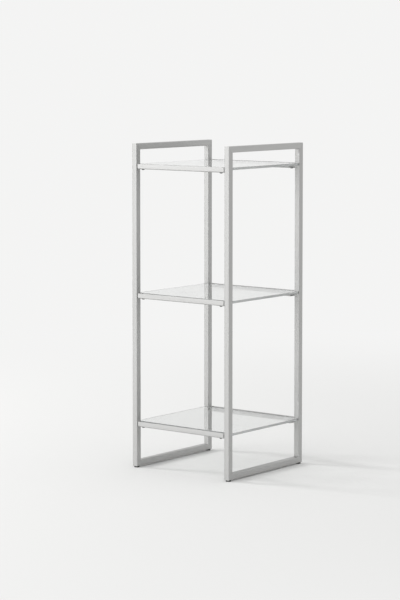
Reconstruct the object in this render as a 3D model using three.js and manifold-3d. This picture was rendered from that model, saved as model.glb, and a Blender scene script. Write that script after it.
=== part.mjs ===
// Bathroom shelf unit: two side frames of square steel tube, joined by three shelves.
// Each shelf has a front and a rear rail of folded steel angle and a glass pane. The
// pane lies on clear pads on the rails' flanges, and reaches out between the posts.
// Every rail end is screwed from below to a lug on a post.
// Millimetres, +Z up. The front faces -Y, and the origin is on the floor, under the
// middle of the footprint.

import * as THREE from 'three';
import { mergeVertices } from 'three/addons/utils/BufferGeometryUtils.js';
import Module from 'manifold-3d';

const wasm = await Module();
wasm.setup();

// The two side frames, outside to outside, without the feet
const frameHeight = 811;
const frameWidth = 305;
const frameDepth = 305;

// Square tube of the side frames
const tubeSize = 15;
const tubeWall = 1.2;
const tubeCorner = 1.5;

// Rails, folded to an angle: a face in front and a flange under the pane
const railHeight = 13;
const railThickness = 2;
const railInnerBend = 0.5;
const railEdge = 0.5;
const railSetback = 1;
const railEndGap = 2.2;

// Levels of the shelves: how far the lower rails lie above the bottom of the frames and
// the upper ones below their top. The levels are evenly spaced.
const lowerRailRise = 101.1;
const upperRailDrop = 50.5;
const levelNames = ['lower', 'middle', 'upper'];

// Glass panes
const paneThickness = 6;
const paneDrop = 0.6;
const paneSideInset = 2;
const panePostGap = 1;
const paneCorner = 2;
const paneArris = 0.5;

// Clear pads between the flanges and the panes
const flangeLap = 14;
const padDiameter = 10;
const padTopDiameter = 8;
const padInset = 20;

// Lugs on the posts, over the rail ends
const lugLength = 26;
const lugHeight = 8;
const lugClearance = 0.5;
const lugChamfer = 1.5;

// Button-head screws from below
const screwInset = 15;
const screwHeadDiameter = 7.6;
const screwHeadHeight = 2.2;
const screwHeadRim = 0.5;
const screwHeadFlatDiameter = 3.8;
const screwShankDiameter = 4;
const screwShankLength = 8;
const screwTipChamfer = 0.5;
const screwHoleClearance = 0.3;
const socketAcrossFlats = 2.5;
const socketDepth = 1.3;

// Feet: a round pad with a stem that is pressed into the bottom bar
const footDiameter = 13;
const footHeight = 3.2;
const footEdge = 0.6;
const footStemDiameter = 6;
const footStemLength = 6;
const footStemChamfer = 0.8;
const footStemClearance = 0.3;

// How far a cut runs past the wall that it goes through
const cutOverrun = 1;

// Facets of the round shapes
const cornerFacets = 2;
const footFacets = 24;
const padFacets = 20;
const screwFacets = 16;
const headFacets = 3;
const socketSides = 6;

const quarterTurn = Math.PI / 2;

const materials = {
  steel: new THREE.MeshStandardMaterial({ color: 0xb6b6b4, roughness: 0.44, metalness: 1 }),
  screwSteel: new THREE.MeshStandardMaterial({ color: 0x5a5a59, roughness: 0.3, metalness: 1 }),
  glass: new THREE.MeshStandardMaterial({
    color: 0xdbe6e3, roughness: 0.04, metalness: 0, transparent: true, opacity: 0.35,
  }),
  silicone: new THREE.MeshStandardMaterial({ color: 0xe9ebe9, roughness: 0.5, metalness: 0 }),
  plastic: new THREE.MeshStandardMaterial({ color: 0x161616, roughness: 0.6, metalness: 0 }),
};

// A rectangle with round corners about the origin, as a shape or as a hole
function roundedRectangle(outline, width, height, radius) {
  const x = width / 2 - radius;
  const y = height / 2 - radius;
  outline.absarc(x, y, radius, 0, quarterTurn);
  outline.absarc(-x, y, radius, quarterTurn, 2 * quarterTurn);
  outline.absarc(-x, -y, radius, 2 * quarterTurn, 3 * quarterTurn);
  outline.absarc(x, -y, radius, 3 * quarterTurn, 4 * quarterTurn);
  outline.closePath();
  return outline;
}

// Square tube of the side frames, along +Z from the origin
function squareTube(length) {
  const bore = tubeSize - 2 * tubeWall;
  const section = roundedRectangle(new THREE.Shape(), tubeSize, tubeSize, tubeCorner);
  section.holes.push(roundedRectangle(new THREE.Path(), bore, bore, tubeCorner - tubeWall));
  return new THREE.ExtrudeGeometry(section, {
    depth: length, bevelEnabled: false, curveSegments: cornerFacets,
  });
}

// A tube of a side frame, both ends cut at 45 degrees. Its outer face is the -Y one.
function mitredTube(length) {
  const geometry = squareTube(length);
  const places = geometry.attributes.position;
  for (let i = 0; i < places.count; i += 1) {
    const inset = tubeSize / 2 + places.getY(i);
    places.setZ(i, places.getZ(i) < length / 2 ? inset : length - inset);
  }
  return geometry;
}

// A round piece about the Z axis, from points of radius and height
function turnedPiece(points, facets) {
  const profile = points.map(([radius, height]) => new THREE.Vector2(radius, height));
  return new THREE.LatheGeometry(profile, facets).rotateX(quarterTurn);
}

// A round cutter about the Z axis, from its lower end up
function drill(diameter, bottom, top, facets) {
  const height = top - bottom + 2 * cutOverrun;
  const cutter = new THREE.CylinderGeometry(diameter / 2, diameter / 2, height, facets);
  return cutter.rotateX(quarterTurn).translate(0, 0, (top + bottom) / 2);
}

// The closed solid of a geometry, without the empty triangles at a lathe's axis
function toSolid(geometry) {
  const bare = geometry.clone();
  bare.deleteAttribute('normal');
  bare.deleteAttribute('uv');
  const merged = mergeVertices(bare);
  const corners = merged.index.array;
  const kept = [];
  for (let i = 0; i < corners.length; i += 3) {
    const [a, b, c] = corners.slice(i, i + 3);
    if (a !== b && b !== c && c !== a) kept.push(a, b, c);
  }
  return new wasm.Manifold(new wasm.Mesh({
    numProp: 3,
    vertProperties: merged.attributes.position.array,
    triVerts: new Uint32Array(kept),
  }));
}

function fromSolid(solid) {
  const mesh = solid.getMesh();
  const geometry = new THREE.BufferGeometry();
  geometry.setAttribute('position', new THREE.BufferAttribute(mesh.vertProperties, 3));
  geometry.setIndex(new THREE.BufferAttribute(mesh.triVerts, 1));
  geometry.computeVertexNormals();
  return geometry;
}

function cutAway(geometry, cutters) {
  const solid = cutters.reduce((rest, cutter) => rest.subtract(toSolid(cutter)), toSolid(geometry));
  return fromSolid(solid);
}

function addMesh(group, name, geometry, material, x, y, z) {
  const mesh = new THREE.Mesh(geometry, material);
  mesh.name = name;
  mesh.position.set(x, y, z);
  group.add(mesh);
}

// Places that several pieces share
const innerFace = frameWidth / 2 - tubeSize;
const tubeCentre = frameWidth / 2 - tubeSize / 2;
const postCentre = frameDepth / 2 - tubeSize / 2;
const paneEdge = frameDepth / 2 - tubeSize - panePostGap;
const paneBottom = railHeight - paneDrop - paneThickness;
const screwCentre = innerFace - screwInset;
const screwHoleDiameter = screwShankDiameter + 2 * screwHoleClearance;
const sides = [['left', -1], ['right', 1]];
const ends = [['front', -1], ['rear', 1]];

// Side frame: the posts stand in front and behind, the bars close it above and below
function postGeometry(end) {
  const geometry = mitredTube(frameHeight);
  return end > 0 ? geometry.rotateZ(2 * quarterTurn) : geometry;
}

function topBarGeometry() {
  return mitredTube(frameDepth).rotateX(-quarterTurn);
}

// The bottom bar has a hole under each post for the stem of a foot
function bottomBarGeometry() {
  const holeDiameter = footStemDiameter + 2 * footStemClearance;
  const bar = mitredTube(frameDepth).rotateX(quarterTurn).translate(0, frameDepth / 2, 0);
  const holes = ends.map(([, end]) => {
    const hole = drill(holeDiameter, -tubeSize / 2, tubeWall - tubeSize / 2, footFacets);
    return hole.translate(0, end * postCentre, 0);
  });
  return cutAway(bar, holes);
}

function sideFrame(sideName, side) {
  const frame = new THREE.Group();
  frame.position.set(side * tubeCentre, 0, footHeight);
  for (const [endName, end] of ends) {
    const post = postGeometry(end);
    addMesh(frame, `${sideName}_${endName}_post`, post, materials.steel, 0, end * postCentre, 0);
  }
  const topCentre = frameHeight - tubeSize / 2;
  const topBar = topBarGeometry();
  addMesh(frame, `${sideName}_top_bar`, topBar, materials.steel, 0, -frameDepth / 2, topCentre);
  const bottomBar = bottomBarGeometry();
  addMesh(frame, `${sideName}_bottom_bar`, bottomBar, materials.steel, 0, 0, tubeSize / 2);
  return frame;
}

// Section of the front rail: x runs back from its face, y up from its underside
function railSection() {
  const depth = tubeSize - railSetback + panePostGap + flangeLap;
  const outerBend = railInnerBend + railThickness;
  const section = new THREE.Shape();
  section.moveTo(railEdge, railHeight);
  section.absarc(railEdge, railHeight - railEdge, railEdge, quarterTurn, 2 * quarterTurn);
  section.absarc(outerBend, outerBend, outerBend, 2 * quarterTurn, 3 * quarterTurn);
  section.lineTo(depth, 0);
  section.lineTo(depth, railThickness);
  section.absarc(outerBend, outerBend, railInnerBend, 3 * quarterTurn, 2 * quarterTurn, true);
  section.lineTo(railThickness, railHeight);
  section.closePath();
  return section;
}

// Rail along X with its underside on z = 0 and the screw holes on the line y = 0
function railGeometry(end) {
  const length = 2 * (innerFace - railEndGap);
  const rail = new THREE.ExtrudeGeometry(railSection(), {
    depth: length, bevelEnabled: false, curveSegments: cornerFacets,
  });
  rail.rotateX(quarterTurn).rotateZ(quarterTurn);
  rail.translate(-length / 2, railSetback - tubeSize / 2, 0);
  const holes = sides.map(([, side]) => {
    const hole = drill(screwHoleDiameter, 0, railThickness, screwFacets);
    return hole.translate(side * screwCentre, 0, 0);
  });
  const drilled = cutAway(rail, holes);
  return end > 0 ? drilled.rotateZ(2 * quarterTurn) : drilled;
}

// Lug from the post's inner face towards the middle of the unit, drilled for its screw.
// It stands on the plane z = 0, and the corners at its free end are cut off.
function lugGeometry(side) {
  const depth = tubeSize - 2 * (railSetback + railThickness + lugClearance);
  const root = side * innerFace;
  const tip = side * (innerFace - lugLength);
  const shoulder = side * (innerFace - lugLength + lugChamfer);
  const outline = new THREE.Shape();
  outline.moveTo(root, -depth / 2);
  outline.lineTo(root, depth / 2);
  outline.lineTo(shoulder, depth / 2);
  outline.lineTo(tip, depth / 2 - lugChamfer);
  outline.lineTo(tip, lugChamfer - depth / 2);
  outline.lineTo(shoulder, -depth / 2);
  outline.closePath();
  const bore = new THREE.Path();
  bore.absarc(side * screwCentre, 0, screwHoleDiameter / 2, 0, 4 * quarterTurn);
  outline.holes.push(bore);
  return new THREE.ExtrudeGeometry(outline, {
    depth: lugHeight, bevelEnabled: false, curveSegments: screwFacets / 2,
  });
}

// Clear pad with its foot on the plane z = 0
function padGeometry() {
  const height = paneBottom - railThickness;
  const shoulder = height - (padDiameter - padTopDiameter) / 2;
  return fromSolid(toSolid(turnedPiece([
    [0, 0],
    [padDiameter / 2, 0],
    [padDiameter / 2, shoulder],
    [padTopDiameter / 2, height],
    [0, height],
  ], padFacets)));
}

// Screw with its head under the plane z = 0 and its shank above it
function screwGeometry() {
  const headRadius = screwHeadDiameter / 2;
  const flatRadius = screwHeadFlatDiameter / 2;
  const shankRadius = screwShankDiameter / 2;
  const dome = [];
  for (let i = 0; i <= headFacets; i += 1) {
    const angle = quarterTurn * (1 - i / headFacets);
    const radius = flatRadius + (headRadius - flatRadius) * Math.cos(angle);
    dome.push([radius, -screwHeadRim - (screwHeadHeight - screwHeadRim) * Math.sin(angle)]);
  }
  const screw = turnedPiece([
    [0, -screwHeadHeight],
    ...dome,
    [headRadius, 0],
    [shankRadius, 0],
    [shankRadius, screwShankLength - screwTipChamfer],
    [shankRadius - screwTipChamfer, screwShankLength],
    [0, screwShankLength],
  ], screwFacets);
  const socketRadius = socketAcrossFlats / (2 * Math.cos(Math.PI / socketSides));
  const cutterHeight = socketDepth + cutOverrun;
  const socket = new THREE.CylinderGeometry(socketRadius, socketRadius, cutterHeight, socketSides);
  socket.rotateX(quarterTurn).translate(0, 0, socketDepth - screwHeadHeight - cutterHeight / 2);
  return cutAway(screw, [socket]);
}

// Pane with its underside on z = 0 and its edges ground to a small arris all round
function paneGeometry() {
  const width = frameWidth - 2 * (paneSideInset + paneArris);
  const depth = 2 * (paneEdge - paneArris);
  const outline = roundedRectangle(new THREE.Shape(), width, depth, paneCorner - paneArris);
  const pane = new THREE.ExtrudeGeometry(outline, {
    depth: paneThickness - 2 * paneArris,
    bevelSize: paneArris,
    bevelThickness: paneArris,
    bevelSegments: 1,
    curveSegments: cornerFacets,
  });
  return pane.translate(0, 0, paneArris);
}

// Shelf, with z = 0 at the underside of its rails
function shelf(level, bottom) {
  const group = new THREE.Group();
  group.position.z = bottom;
  for (const [endName, end] of ends) {
    const y = end * postCentre;
    const padY = end * (paneEdge - flangeLap / 2);
    addMesh(group, `${level}_${endName}_rail`, railGeometry(end), materials.steel, 0, y, 0);
    for (const [sideName, side] of sides) {
      const place = `${level}_${endName}_${sideName}`;
      const padX = side * (innerFace - padInset);
      addMesh(group, `${place}_lug`, lugGeometry(side), materials.steel, 0, y, railThickness);
      addMesh(group, `${place}_screw`, screwGeometry(), materials.screwSteel, side * screwCentre, y, 0);
      addMesh(group, `${place}_pad`, padGeometry(), materials.silicone, padX, padY, railThickness);
    }
  }
  addMesh(group, `${level}_pane`, paneGeometry(), materials.glass, 0, 0, paneBottom);
  return group;
}

// Foot with its pad under the plane z = 0 and its stem above it
function footGeometry() {
  const padRadius = footDiameter / 2;
  const stemRadius = footStemDiameter / 2;
  return fromSolid(toSolid(turnedPiece([
    [0, -footHeight],
    [padRadius - footEdge, -footHeight],
    [padRadius, footEdge - footHeight],
    [padRadius, -footEdge],
    [padRadius - footEdge, 0],
    [stemRadius, 0],
    [stemRadius, footStemLength - footStemChamfer],
    [stemRadius - footStemChamfer, footStemLength],
    [0, footStemLength],
  ], footFacets)));
}

function buildUnit() {
  const unit = new THREE.Group();
  for (const [sideName, side] of sides) {
    unit.add(sideFrame(sideName, side));
    for (const [endName, end] of ends) {
      const name = `${endName}_${sideName}_foot`;
      const x = side * tubeCentre;
      addMesh(unit, name, footGeometry(), materials.plastic, x, end * postCentre, footHeight);
    }
  }
  const lowerRailBottom = footHeight + lowerRailRise;
  const upperRailBottom = footHeight + frameHeight - upperRailDrop - railHeight;
  const shelfPitch = (upperRailBottom - lowerRailBottom) / (levelNames.length - 1);
  levelNames.forEach((level, i) => {
    unit.add(shelf(level, lowerRailBottom + i * shelfPitch));
  });
  return unit;
}

export default buildUnit();
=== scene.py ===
import math

import bmesh
import bpy
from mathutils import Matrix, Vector


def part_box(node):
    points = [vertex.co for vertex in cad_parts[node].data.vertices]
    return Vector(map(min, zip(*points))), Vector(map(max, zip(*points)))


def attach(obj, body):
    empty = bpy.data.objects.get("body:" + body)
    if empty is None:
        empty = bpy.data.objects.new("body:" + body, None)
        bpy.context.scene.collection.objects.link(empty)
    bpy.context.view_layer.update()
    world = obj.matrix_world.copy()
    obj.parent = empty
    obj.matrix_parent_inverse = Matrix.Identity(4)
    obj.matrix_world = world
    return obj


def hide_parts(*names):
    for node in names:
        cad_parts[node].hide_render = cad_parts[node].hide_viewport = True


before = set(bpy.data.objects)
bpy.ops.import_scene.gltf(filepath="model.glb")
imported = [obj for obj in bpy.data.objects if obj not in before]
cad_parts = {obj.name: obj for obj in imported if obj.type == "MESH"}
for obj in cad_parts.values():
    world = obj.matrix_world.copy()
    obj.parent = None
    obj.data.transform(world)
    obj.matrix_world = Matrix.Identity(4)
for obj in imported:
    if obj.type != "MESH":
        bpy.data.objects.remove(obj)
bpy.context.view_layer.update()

MM = 0.001
BODY = "root"
LEVELS = ("lower", "middle", "upper")
SIDES = ("left", "right")
ENDS = ("front", "rear")
CORNERS = [f"{end}_{side}" for end in ENDS for side in SIDES]
X, Y, Z = range(3)

# Camera at the photograph's viewing angle. Its shift lets it look down on the unit with
# uprights that stay nearly parallel
CAMERA_PLACE = (3.246, -4.180, 1.0363)
CAMERA_TURN = math.radians(38.317)
CAMERA_DIP = math.radians(4.216)
CAMERA_LENS = 127.15
CAMERA_SENSOR = 36.0
CAMERA_SHIFT = -0.15

# Studio
BACKDROP = (0.905, 0.905, 0.900, 1.0)
FLOOR_COLOUR = (0.735, 0.735, 0.731, 1.0)
FLOOR_RADIUS = 14.0
FLOOR_FACETS = 96
FLOOR_FADE_START = 0.7
FLOOR_FADE_END = 2.6
KEY_LAMP_PLACE = (-5.0, -1.8, 3.0)
KEY_LAMP_SIZE = 1.1
KEY_LAMP_POWER = 130
SOFTBOX_PLACE = (-3.3, -5.3, 1.8)
SOFTBOX_SIZE = 5.0
SOFTBOX_POWER = 192
LAMP_AIM = (0.0, 0.0, 0.42)
LIGHT_BOUNCES = 24

# Glass: the colour that its body lets through best, how strongly a metre of it takes up
# the rest, and how much its surfaces and those of the pads bend light
GLASS_TINT = (0.858, 0.865, 0.864, 1.0)
GLASS_DENSITY = 6.0
GLASS_IOR = 1.52
SILICONE_IOR = 1.41

# Brushed steel: its colour, its brushing, and how rough that leaves each kind of piece
STEEL_COLOUR = (0.48, 0.48, 0.475)
SCRATCH_WIDTH = 0.22 * MM
SCRATCH_LENGTH = 14 * MM
STREAK_WIDTH = 2.4 * MM
STREAK_LENGTH = 160 * MM
CLOUD_WIDTH = 45 * MM
POST_ROUGHNESS = 0.55
BAR_ROUGHNESS = 0.46
RAIL_ROUGHNESS = 0.52
LUG_ROUGHNESS = 0.48
GLOSS_SPREAD = 0.3

# How wide the marks of the other finishes are along each axis
TURNING_RINGS = (0.5 * MM, 0.5 * MM, 0.12 * MM)
SCREW_GRIME = (1.6 * MM,) * 3
WELD_HEAT = (2.2 * MM,) * 3
WELD_GRAIN = (0.3 * MM,) * 3
WIPING_FILM = (38 * MM, 70 * MM, 38 * MM)
EDGE_GRINDING = (0.9 * MM, 0.9 * MM, 0.25 * MM)
EDGE_CLOUDS = (30 * MM,) * 3
PAD_DUST = (0.6 * MM,) * 3
SPARK_TEXTURE = (0.28 * MM,) * 3
FOOT_SCUFFS = (1.8 * MM, 1.8 * MM, 0.5 * MM)

# Depth of the fine marks in a finish
TOOL_MARKS = 0.006 * MM
CAST_MARKS = 0.01 * MM
MOULD_MARKS = 0.02 * MM

# Edges that bend by more than these angles stay sharp
TUBE_CREASE = math.radians(40)
TURNED_CREASE = math.radians(32)
BEAD_CREASE = math.radians(50)

# Corners of a mesh that are nearer to each other than this are one
MERGE_DISTANCE = 0.01 * MM

# A pane's face is level, and clear, where its normal rises by more than this
LEVEL_FACE = 0.9

# Screws: the head with its socket, and the shank with its thread
HEAD_FLAT_RADIUS = 1.9 * MM
HEAD_RIM = 0.5 * MM
HEAD_EDGE = 0.12 * MM
DOME_STEPS = 8
SOCKET_ACROSS = 2.5 * MM
SOCKET_DEPTH = 1.3 * MM
SOCKET_POINT_RADIUS = 0.9 * MM
SOCKET_POINT_DEPTH = 0.5 * MM
SOCKET_MOUTH_RADIUS = 1.62 * MM
SOCKET_MOUTH_DEPTH = 0.15 * MM
NECK_ROUNDING = 0.3 * MM
THREAD_ROOT = 1.68 * MM
THREAD_CREST = 2.0 * MM
THREAD_PITCH = 0.7 * MM
THREAD_START = 0.9 * MM
THREAD_TO_TIP = 0.5 * MM
CREST_START_SHARE = 0.4
CREST_END_SHARE = 0.5
TIP_RADIUS = 1.5 * MM

# Feet: soft edges, a hollow in the sole, and a stem with ribs that are steep below
FOOT_EDGE = 0.6 * MM
HOLLOW_DEPTH = 0.35 * MM
HOLLOW_RADIUS = 3.6 * MM
HOLLOW_MOUTH_RADIUS = 3.9 * MM
STEM_RADIUS = 3.0 * MM
STEM_TIP_RADIUS = 2.2 * MM
RIBS = 3
RIB_START = 1.0 * MM
RIB_PITCH = 1.3 * MM
RIB_DEPTH = 0.35 * MM
RIB_CREST = 0.3 * MM
RIB_LENGTH = 1.2 * MM

# Pads: radius of the rounded foot and of the dome, and the dome's first angle in degrees
PAD_EDGE = 0.35 * MM
PAD_DOME = 1.3 * MM
PAD_DOME_START = 8

# Weld beads: how thick they are, how far they sink into the steel and stay clear of the
# lug's ends, the steps that they are made in, and their ripples
BEAD_SIZE = 1.2 * MM
BEAD_SUNK = 0.05 * MM
BEAD_CLEAR = 0.4 * MM
BEAD_STEP = 0.25 * MM
BEAD_TURNS = (math.radians(30), math.radians(60))
BEAD_END_SHARE = 0.15
RIPPLE_LENGTH = 1.1 * MM
RIPPLE_SHARE = 0.09


class Value:
    """What one socket of a shader gives. Arithmetic on it adds Math nodes."""

    def __init__(self, shader, socket):
        self.shader = shader
        self.socket = socket

    def __add__(self, other):
        return self.shader.maths("ADD", self, other)

    def __sub__(self, other):
        return self.shader.maths("SUBTRACT", self, other)

    def __rsub__(self, other):
        return self.shader.maths("SUBTRACT", other, self)

    def __mul__(self, other):
        return self.shader.maths("MULTIPLY", self, other)

    __radd__ = __add__
    __rmul__ = __mul__


class Shader:
    """The nodes of one material or of the world."""

    def __init__(self, owner):
        owner.use_nodes = True
        self.owner = owner
        self.tree = owner.node_tree
        self.tree.nodes.clear()

    def node(self, kind, settings=(), sockets=(), output=0):
        """Adds a node, settings first, and gives what its output gives."""
        new = self.tree.nodes.new(kind)
        for name, setting in dict(settings).items():
            setattr(new, name, setting)
        for name, value in dict(sockets).items():
            if isinstance(value, Value):
                self.tree.links.new(value.socket, new.inputs[name])
            else:
                new.inputs[name].default_value = value
        return Value(self, new.outputs[output])

    def maths(self, operation, first, second):
        return self.node("ShaderNodeMath", {"operation": operation}, {0: first, 1: second})

    def smooth_step(self, value, start, end):
        """0 below start, 1 above end, with a soft turn between them."""
        settings = {"interpolation_type": "SMOOTHSTEP"}
        sockets = {"Value": value, "From Min": start, "From Max": end}
        return self.node("ShaderNodeMapRange", settings, sockets)

    def tint(self, share, first, second):
        """A colour between two, at a share of the way."""
        settings = {"data_type": "RGBA"}
        return self.node("ShaderNodeMix", settings, {0: share, 6: first, 7: second}, output=2)

    def ray(self, *kinds):
        """1 for a ray of one of these kinds, such as Camera or Shadow."""
        found = 0.0
        for kind in kinds:
            path = self.node("ShaderNodeLightPath", output=f"Is {kind} Ray")
            found = self.maths("MAXIMUM", found, path)
        return found

    def place(self):
        """Where a point of the surface lies on its object, in metres."""
        return self.node("ShaderNodeTexCoord", output="Object")

    def noise(self, grain, detail=2.0):
        """Noise whose features are grain wide along each axis, in metres."""
        stretch = [1 / width for width in grain]
        settings = {"operation": "MULTIPLY"}
        stretched = self.node("ShaderNodeVectorMath", settings, {0: self.place(), 1: stretch})
        sockets = {"Vector": stretched, "Scale": 1.0, "Detail": detail}
        return self.node("ShaderNodeTexNoise", {}, sockets, output="Fac")

    def bump(self, height, depth):
        """The normal of a surface that rises by depth, in metres, where height is 1."""
        sockets = {"Height": height, "Strength": 1.0, "Distance": depth}
        return self.node("ShaderNodeBump", {}, sockets)

    def principled(self, **looks):
        """A Principled shader. An underscore stands for the space in a socket's name."""
        sockets = {name.replace("_", " "): value for name, value in looks.items()}
        return self.node("ShaderNodeBsdfPrincipled", {}, sockets)

    def mix(self, share, first, second):
        return self.node("ShaderNodeMixShader", {}, {0: share, 1: first, 2: second})

    def finish(self, surface, volume=None):
        """Ends the tree with its surface, and gives the material or world back."""
        kind = "World" if isinstance(self.owner, bpy.types.World) else "Material"
        sockets = {"Surface": surface}
        if volume:
            sockets["Volume"] = volume
        end = self.tree.nodes.new(f"ShaderNodeOutput{kind}")
        for name, value in sockets.items():
            self.tree.links.new(value.socket, end.inputs[name])
        return self.owner


def brushed_steel(name, axis, roughness, spread=GLOSS_SPREAD):
    """Satin steel, brushed along one axis, with a spread of its gloss across the brushing."""
    steel = Shader(bpy.data.materials.new(name))
    # In shares of a whole turn
    gloss_turn = 0.0 if axis == Z else 0.25
    grain = [SCRATCH_WIDTH] * 3
    grain[axis] = SCRATCH_LENGTH
    streak = [STREAK_WIDTH] * 3
    streak[axis] = STREAK_LENGTH
    scratches = steel.noise(grain, detail=3.0)
    streaks = steel.noise(streak)
    clouds = steel.noise([CLOUD_WIDTH] * 3)
    share = 0.45 * streaks + 0.25 * clouds + 0.30 * scratches
    dark = [0.86 * level for level in STEEL_COLOUR] + [1.0]
    light = [1.14 * level for level in STEEL_COLOUR] + [1.0]
    return steel.finish(steel.principled(
        Base_Color=steel.tint(share, dark, light),
        Metallic=1.0,
        Roughness=roughness + 0.10 * (scratches - 0.5) + 0.08 * (clouds - 0.5),
        Anisotropic=spread,
        Anisotropic_Rotation=gloss_turn,
        Normal=steel.bump(scratches, TOOL_MARKS),
    ))


def shade_darkened_screw_steel():
    """Steel of the screws, painted dark for the shade under the rails, with the fine rings of turning.
    """
    steel = Shader(bpy.data.materials.new("shade_darkened_screw_steel"))
    rings = steel.noise(TURNING_RINGS)
    grime = steel.noise(SCREW_GRIME)
    return steel.finish(steel.principled(
        # The dark base colour is painted shade, the shade that the rails cast on the screw heads; the
        # grime noise only varies it at random
        Base_Color=steel.tint(grime, [0.07, 0.07, 0.07, 1.0], [0.14, 0.14, 0.138, 1.0]),
        Metallic=1.0,
        Roughness=0.28 + 0.16 * (rings - 0.5),
        Normal=steel.bump(rings, TOOL_MARKS),
    ))


def welded_steel():
    """Steel of the weld beads, duller than the brushed steel and a little clouded."""
    steel = Shader(bpy.data.materials.new("welded_steel"))
    heat = steel.noise(WELD_HEAT)
    grain = steel.noise(WELD_GRAIN, detail=3.0)
    return steel.finish(steel.principled(
        Base_Color=steel.tint(heat, [0.33, 0.325, 0.32, 1.0], [0.45, 0.45, 0.445, 1.0]),
        Metallic=1.0,
        Roughness=0.42 + 0.16 * (grain - 0.5),
        Normal=steel.bump(grain, CAST_MARKS),
    ))


def lets_light_through(glass, surface, tint):
    """The surface, but nearly clear for light that passes it on its way to other things."""
    clear = glass.node("ShaderNodeBsdfTransparent", {}, {"Color": tint})
    return glass.mix(glass.ray("Shadow", "Diffuse"), surface, clear)


def glass_body(glass):
    """The glass itself, which takes a little light from every path through it."""
    sockets = {"Color": GLASS_TINT, "Density": GLASS_DENSITY}
    return glass.node("ShaderNodeVolumeAbsorption", {}, sockets)


def clear_glass():
    """Float glass, with the faint film that wiping leaves."""
    glass = Shader(bpy.data.materials.new("clear_glass"))
    film = glass.noise(WIPING_FILM)
    surface = glass.principled(
        Base_Color=[0.79, 0.80, 0.795, 1.0],
        Roughness=0.05 * glass.smooth_step(film, 0.45, 0.80),
        IOR=GLASS_IOR,
        Transmission_Weight=1.0,
    )
    surface = lets_light_through(glass, surface, tint=[0.96, 0.965, 0.962, 1.0])
    return glass.finish(surface, glass_body(glass))


def ground_glass():
    """The panes' edges, ground to a satin that scatters a part of the light."""
    glass = Shader(bpy.data.materials.new("ground_glass"))
    grinding = glass.noise(EDGE_GRINDING, detail=3.0)
    clouds = glass.noise(EDGE_CLOUDS)
    share = 0.6 * clouds + 0.4 * grinding
    surface = glass.principled(
        Base_Color=glass.tint(share, [0.58, 0.59, 0.59, 1.0], [0.72, 0.73, 0.725, 1.0]),
        Roughness=0.12 + 0.14 * grinding,
        IOR=GLASS_IOR,
        Transmission_Weight=0.6,
        Normal=glass.bump(grinding, TOOL_MARKS),
    )
    surface = lets_light_through(glass, surface, tint=[0.70, 0.74, 0.73, 1.0])
    return glass.finish(surface, glass_body(glass))


def clear_silicone():
    """Clear silicone of the pads, dulled by dust."""
    silicone = Shader(bpy.data.materials.new("clear_silicone"))
    dust = silicone.noise(PAD_DUST)
    surface = silicone.principled(
        Base_Color=[0.90, 0.91, 0.90, 1.0],
        Roughness=0.30 + 0.20 * dust,
        IOR=SILICONE_IOR,
        Transmission_Weight=0.8,
        Normal=silicone.bump(dust, CAST_MARKS),
    )
    return silicone.finish(lets_light_through(silicone, surface, tint=[0.80, 0.80, 0.80, 1.0]))


def moulded_plastic():
    """Matt black plastic of the feet, with a fine spark texture and pale scuffs."""
    plastic = Shader(bpy.data.materials.new("moulded_plastic"))
    texture = plastic.noise(SPARK_TEXTURE, detail=3.0)
    scuffs = plastic.smooth_step(plastic.noise(FOOT_SCUFFS), 0.52, 0.74)
    return plastic.finish(plastic.principled(
        Base_Color=plastic.tint(scuffs, [0.006, 0.006, 0.006, 1.0], [0.020, 0.020, 0.019, 1.0]),
        Roughness=0.50 + 0.20 * texture,
        Specular_IOR_Level=0.2,
        Normal=plastic.bump(texture, MOULD_MARKS),
    ))


def add_object(name, data):
    """A new object of the scene, from its mesh, lamp or camera."""
    added = bpy.data.objects.new(name, data)
    bpy.context.scene.collection.objects.link(added)
    return added


def smooth_mesh(name, shape, crease):
    """Ends a shape as a mesh, shaded smooth but for edges that bend by more than crease."""
    mesh = bpy.data.meshes.new(name)
    bmesh.ops.remove_doubles(shape, verts=shape.verts, dist=MERGE_DISTANCE)
    bmesh.ops.recalc_face_normals(shape, faces=shape.faces)
    shape.to_mesh(mesh)
    shape.free()
    mesh.polygons.foreach_set("use_smooth", [True] * len(mesh.polygons))
    mesh.set_sharp_from_angle(angle=crease)
    return mesh


def arc(centre, radius, start, end, steps=5):
    """Points of radius and height on an arc, from one angle to the other, in degrees."""
    points = []
    for step in range(steps + 1):
        angle = math.radians(start + (end - start) * step / steps)
        points.append((centre[0] + radius * math.cos(angle), centre[1] + radius * math.sin(angle)))
    return points


def hexagon(across, height):
    """A ring of a turned outline that is a hexagon, by its width across flats."""
    sides = 6
    return (across / 2, height, sides)


def ring_radius(radius, sides, angle):
    """How far a ring is from the axis: a circle, or a polygon that is radius to its flats."""
    if not sides:
        return radius
    sector = 2 * math.pi / sides
    return radius / math.cos((angle % sector) - sector / 2)


def turned(name, outline, place, facets=48):
    """A closed piece turned about the Z axis at place, from rings of radius and height."""
    shape = bmesh.new()
    rings = []
    for radius, height, *sides in outline:
        if radius == 0:
            rings.append([shape.verts.new((0, 0, height))] * facets)
            continue
        ring = []
        for step in range(facets):
            angle = 2 * math.pi * step / facets
            reach = ring_radius(radius, sides[0] if sides else 0, angle)
            ring.append(shape.verts.new((reach * math.cos(angle), reach * math.sin(angle), height)))
        rings.append(ring)
    for lower, upper in zip(rings, rings[1:]):
        for step in range(facets):
            following = (step + 1) % facets
            corners = [lower[step], lower[following], upper[following], upper[step]]
            # A corner on the axis is taken once
            shape.faces.new(list(dict.fromkeys(corners)))
    piece = add_object(name, smooth_mesh(name, shape, TURNED_CREASE))
    piece.location = place
    return piece


def stands_for(piece, node, material):
    """The piece takes the place of a node of the model and its body."""
    piece.data.materials.append(material)
    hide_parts(node)
    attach(piece, BODY)


def middle(node):
    """The point on a node's vertical axis, at height 0."""
    low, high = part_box(node)
    return Vector(((low.x + high.x) / 2, (low.y + high.y) / 2, 0))


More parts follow.
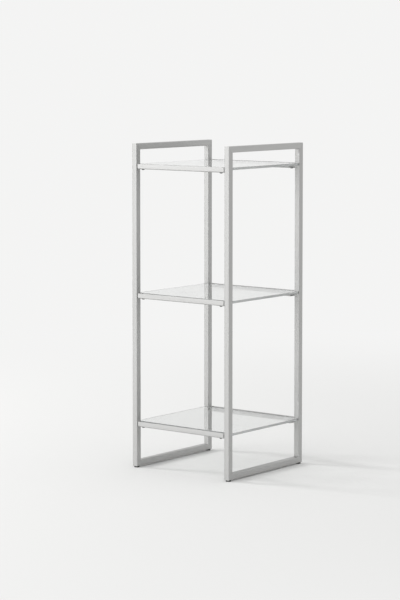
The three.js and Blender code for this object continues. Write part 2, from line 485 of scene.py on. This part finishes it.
def thread(bottom, top):
    """The ridges of a screw thread between two heights, as closed rings."""
    points = []
    height = bottom
    while height + THREAD_PITCH <= top:
        crest_start = height + CREST_START_SHARE * THREAD_PITCH
        crest_end = height + CREST_END_SHARE * THREAD_PITCH
        points += [(THREAD_ROOT, height), (THREAD_CREST, crest_start), (THREAD_CREST, crest_end)]
        height += THREAD_PITCH
    return points + [(THREAD_ROOT, height)]


def screw(node, seat, material):
    """Button-head screw with a hexagon socket, its head under the height of its seat."""
    low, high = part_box(node)
    head_height = seat - low.z
    head_radius = (high.x - low.x) / 2
    shank_length = high.z - seat
    socket_floor = SOCKET_DEPTH - head_height
    neck_edge = THREAD_CREST + NECK_ROUNDING
    dome = []
    for step in range(DOME_STEPS + 1):
        angle = math.radians(90 - 90 * step / DOME_STEPS)
        reach = HEAD_FLAT_RADIUS + (head_radius - HEAD_FLAT_RADIUS) * math.cos(angle)
        dome.append((reach, -HEAD_RIM - (head_height - HEAD_RIM) * math.sin(angle)))
    outline = [
        (0, socket_floor + SOCKET_POINT_DEPTH),
        (SOCKET_POINT_RADIUS, socket_floor),
        hexagon(SOCKET_ACROSS, socket_floor),
        hexagon(SOCKET_ACROSS, SOCKET_MOUTH_DEPTH - head_height),
        (SOCKET_MOUTH_RADIUS, -head_height),
        *dome,
        *arc((head_radius - HEAD_EDGE, -HEAD_EDGE), HEAD_EDGE, 0, 90, steps=3),
        *arc((neck_edge, NECK_ROUNDING), NECK_ROUNDING, 270, 180, steps=3),
        *thread(THREAD_START, shank_length - THREAD_TO_TIP),
        (TIP_RADIUS, shank_length),
        (0, shank_length),
    ]
    piece = turned(f"{node}_turned", outline, middle(node) + Vector((0, 0, seat)))
    stands_for(piece, node, material)


def foot(node, seat, material):
    """Moulded foot: a round pad with soft edges and a ribbed stem, pressed in from below."""
    low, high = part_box(node)
    radius = (high.x - low.x) / 2
    height = seat - low.z
    stem_top = high.z - seat
    rib_root = STEM_RADIUS - RIB_DEPTH
    ribs = []
    for rib in range(RIBS):
        bottom = RIB_START + RIB_PITCH * rib
        ribs += [(rib_root, bottom), (STEM_RADIUS, bottom + RIB_CREST), (rib_root, bottom + RIB_LENGTH)]
    outline = [
        (0, HOLLOW_DEPTH - height),
        (HOLLOW_RADIUS, HOLLOW_DEPTH - height),
        (HOLLOW_MOUTH_RADIUS, -height),
        *arc((radius - FOOT_EDGE, FOOT_EDGE - height), FOOT_EDGE, 270, 360),
        *arc((radius - FOOT_EDGE, -FOOT_EDGE), FOOT_EDGE, 0, 90),
        (rib_root, 0),
        *ribs,
        (STEM_TIP_RADIUS, stem_top),
        (0, stem_top),
    ]
    piece = turned(f"{node}_moulded", outline, middle(node) + Vector((0, 0, seat)), facets=64)
    stands_for(piece, node, material)


def pad(node, material):
    """Clear pad, pressed a little flat between the flange and the pane."""
    low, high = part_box(node)
    radius = (high.x - low.x) / 2
    height = high.z - low.z
    outline = [
        (0, 0),
        *arc((radius - PAD_EDGE, PAD_EDGE), PAD_EDGE, 270, 360, steps=4),
        *arc((radius - PAD_DOME, height - PAD_DOME), PAD_DOME, PAD_DOME_START, 90, steps=6),
        (0, height),
    ]
    piece = turned(f"{node}_cast", outline, middle(node) + Vector((0, 0, low.z)))
    stands_for(piece, node, material)


def bead_stations(length, height):
    """Where a bead's rings stand: way along it, place beside and over the lug, and tilt."""
    stations = []
    rises = round(height / BEAD_STEP)
    for rise in range(rises + 1):
        up = height * rise / rises
        stations.append((up, 0, up, 0))
    for tilt in BEAD_TURNS:
        stations.append((height, 0, height, tilt))
    runs = round(length / BEAD_STEP)
    for run in range(runs + 1):
        along = length * run / runs
        stations.append((height + along, along, height, math.radians(90)))
    return stations


def weld_bead(node, material):
    """Weld bead at a lug's root, up its inner side and across its top, rippled all along."""
    low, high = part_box(node)
    side = math.copysign(1, low.x)
    end = math.copysign(1, low.y)
    root = side * max(abs(low.x), abs(high.x))
    inner = end * min(abs(low.y), abs(high.y))
    length = high.y - low.y - BEAD_CLEAR
    height = high.z - low.z - BEAD_CLEAR
    shape = bmesh.new()
    rings = []
    for way, along, up, tilt in bead_stations(length, height):
        to_end = min(way, length + height - way)
        taper = math.sqrt(min(1, BEAD_END_SHARE + to_end / BEAD_SIZE))
        ripple = 1 + RIPPLE_SHARE * math.sin(2 * math.pi * way / RIPPLE_LENGTH)
        reach = BEAD_SIZE * taper * ripple
        section = [(-BEAD_SUNK, -BEAD_SUNK), (reach, -BEAD_SUNK)]
        section += arc((0, 0), reach, 0, 90)
        section.append((-BEAD_SUNK, reach))
        ring = []
        for outward, off_post in section:
            y = inner + end * (along - outward * math.cos(tilt))
            z = low.z + BEAD_CLEAR + up + outward * math.sin(tilt)
            ring.append(shape.verts.new((root - side * off_post, y, z)))
        rings.append(ring)
    for first, second in zip(rings, rings[1:]):
        for corner in range(len(first)):
            following = (corner + 1) % len(first)
            shape.faces.new((first[corner], first[following], second[following], second[corner]))
    shape.faces.new(rings[0])
    shape.faces.new(rings[-1])
    name = f"{node}_weld"
    piece = add_object(name, smooth_mesh(name, shape, BEAD_CREASE))
    piece.data.materials.append(material)
    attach(piece, BODY)


def corner_smoothing():
    """Node group that shades a mesh smooth, but for the edges that are meant as edges."""
    group = bpy.data.node_groups.new("corner_smoothing", "GeometryNodeTree")
    for flow in ("INPUT", "OUTPUT"):
        group.interface.new_socket("Geometry", in_out=flow, socket_type="NodeSocketGeometry")
    start = group.nodes.new("NodeGroupInput")
    end = group.nodes.new("NodeGroupOutput")
    faces = group.nodes.new("GeometryNodeSetShadeSmooth")
    faces.domain = "FACE"
    edges = group.nodes.new("GeometryNodeSetShadeSmooth")
    edges.domain = "EDGE"
    edges.inputs["Shade Smooth"].default_value = False
    bend = group.nodes.new("GeometryNodeInputMeshEdgeAngle")
    sharp = group.nodes.new("ShaderNodeMath")
    sharp.operation = "GREATER_THAN"
    sharp.inputs[1].default_value = TUBE_CREASE
    group.links.new(start.outputs[0], faces.inputs["Geometry"])
    group.links.new(faces.outputs[0], edges.inputs["Geometry"])
    group.links.new(bend.outputs["Unsigned Angle"], sharp.inputs[0])
    group.links.new(sharp.outputs[0], edges.inputs["Selection"])
    group.links.new(edges.outputs[0], end.inputs[0])
    return group


def dress(node, material, smoothing):
    """A node of the model with a finish, its bends and round corners shaded smooth."""
    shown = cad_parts[node]
    shown.data.materials.clear()
    shown.data.materials.append(material)
    joined = shown.modifiers.new("weld", "WELD")
    joined.merge_threshold = MERGE_DISTANCE
    smooth = shown.modifiers.new("smooth", "NODES")
    smooth.node_group = smoothing
    flat = shown.modifiers.new("flat_faces", "WEIGHTED_NORMAL")
    flat.keep_sharp = True


def dress_pane(node, faces, edges, smoothing):
    """A pane, clear from above and below and ground round its edge."""
    dress(node, faces, smoothing)
    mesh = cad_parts[node].data
    mesh.materials.append(edges)
    for face in mesh.polygons:
        face.material_index = 0 if abs(face.normal.z) > LEVEL_FACE else 1


def dress_unit():
    """Gives every node its finish, and makes the finer pieces."""
    smoothing = corner_smoothing()
    post_steel = brushed_steel("post_steel", Z, POST_ROUGHNESS, spread=0.0)
    bar_steel = brushed_steel("bar_steel", Y, BAR_ROUGHNESS)
    rail_steel = brushed_steel("rail_steel", X, RAIL_ROUGHNESS)
    lug_steel = brushed_steel("lug_steel", X, LUG_ROUGHNESS)
    screw_steel = shade_darkened_screw_steel()
    weld_steel = welded_steel()
    glass = clear_glass()
    glass_edge = ground_glass()
    silicone = clear_silicone()
    plastic = moulded_plastic()
    for side in SIDES:
        dress(f"{side}_top_bar", bar_steel, smoothing)
        dress(f"{side}_bottom_bar", bar_steel, smoothing)
        for end in ENDS:
            dress(f"{side}_{end}_post", post_steel, smoothing)
    for level in LEVELS:
        dress_pane(f"{level}_pane", glass, glass_edge, smoothing)
        for end in ENDS:
            dress(f"{level}_{end}_rail", rail_steel, smoothing)
        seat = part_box(f"{level}_front_rail")[0].z
        for corner in CORNERS:
            dress(f"{level}_{corner}_lug", lug_steel, smoothing)
            weld_bead(f"{level}_{corner}_lug", weld_steel)
            screw(f"{level}_{corner}_screw", seat, screw_steel)
            pad(f"{level}_{corner}_pad", silicone)
    frame_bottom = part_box("left_bottom_bar")[0].z
    for corner in CORNERS:
        foot(f"{corner}_foot", frame_bottom, plastic)


def make_world():
    """A plain pale room, the same all round and for every ray."""
    world = bpy.data.worlds.new("studio")
    bpy.context.scene.world = world
    room = Shader(world)
    room.finish(room.node("ShaderNodeBackground", {}, {"Color": BACKDROP, "Strength": 1.0}))


def make_floor():
    """A pale floor that keeps the shadow and runs out into the backdrop."""
    mesh = bpy.data.meshes.new("floor")
    shape = bmesh.new()
    bmesh.ops.create_circle(shape, cap_ends=True, radius=FLOOR_RADIUS, segments=FLOOR_FACETS)
    shape.to_mesh(mesh)
    shape.free()
    floor = add_object("floor", mesh)
    paint = Shader(bpy.data.materials.new("pale_floor"))
    length = {"operation": "LENGTH"}
    distance = paint.node("ShaderNodeVectorMath", length, {0: paint.place()}, output="Value")
    far = paint.smooth_step(distance, FLOOR_FADE_START, FLOOR_FADE_END)
    # What the camera sees: straight, through glass, or mirrored in metal and glass
    seen = paint.ray("Camera", "Transmission", "Glossy")
    lit = paint.node("ShaderNodeBsdfDiffuse", {}, {"Color": FLOOR_COLOUR})
    plain = paint.node("ShaderNodeEmission", {}, {"Color": BACKDROP, "Strength": 1.0})
    mesh.materials.append(paint.finish(paint.mix(far * seen, lit, plain)))


def make_lamp(name, place, size, power, in_gloss):
    """A soft square lamp that faces the unit. It shows in gloss or not, and never itself."""
    lamp = bpy.data.lights.new(name, "AREA")
    lamp.size = size
    lamp.energy = power
    holder = add_object(name, lamp)
    holder.visible_camera = False
    holder.visible_transmission = False
    holder.visible_glossy = in_gloss
    holder.location = place
    aim = Vector(LAMP_AIM) - holder.location
    holder.rotation_euler = aim.to_track_quat("-Z", "Y").to_euler()


def make_camera():
    """The camera, where the photograph was taken from."""
    camera = bpy.data.cameras.new("camera")
    camera.lens = CAMERA_LENS
    camera.sensor_width = CAMERA_SENSOR
    camera.shift_y = CAMERA_SHIFT
    holder = add_object("camera", camera)
    holder.location = CAMERA_PLACE
    holder.rotation_euler = (math.radians(90) - CAMERA_DIP, 0, CAMERA_TURN)
    bpy.context.scene.camera = holder


def make_studio():
    """The camera, the room with its floor, and the lamps."""
    scene = bpy.context.scene
    scene.view_settings.view_transform = "Standard"
    # Light goes back and forth many times in a pane before it leaves by an edge
    for path in ("max_bounces", "glossy_bounces", "transmission_bounces"):
        setattr(scene.cycles, path, LIGHT_BOUNCES)
    make_camera()
    make_world()
    make_floor()
    make_lamp("key_lamp", KEY_LAMP_PLACE, KEY_LAMP_SIZE, KEY_LAMP_POWER, in_gloss=False)
    make_lamp("softbox", SOFTBOX_PLACE, SOFTBOX_SIZE, SOFTBOX_POWER, in_gloss=True)


make_studio()
dress_unit()
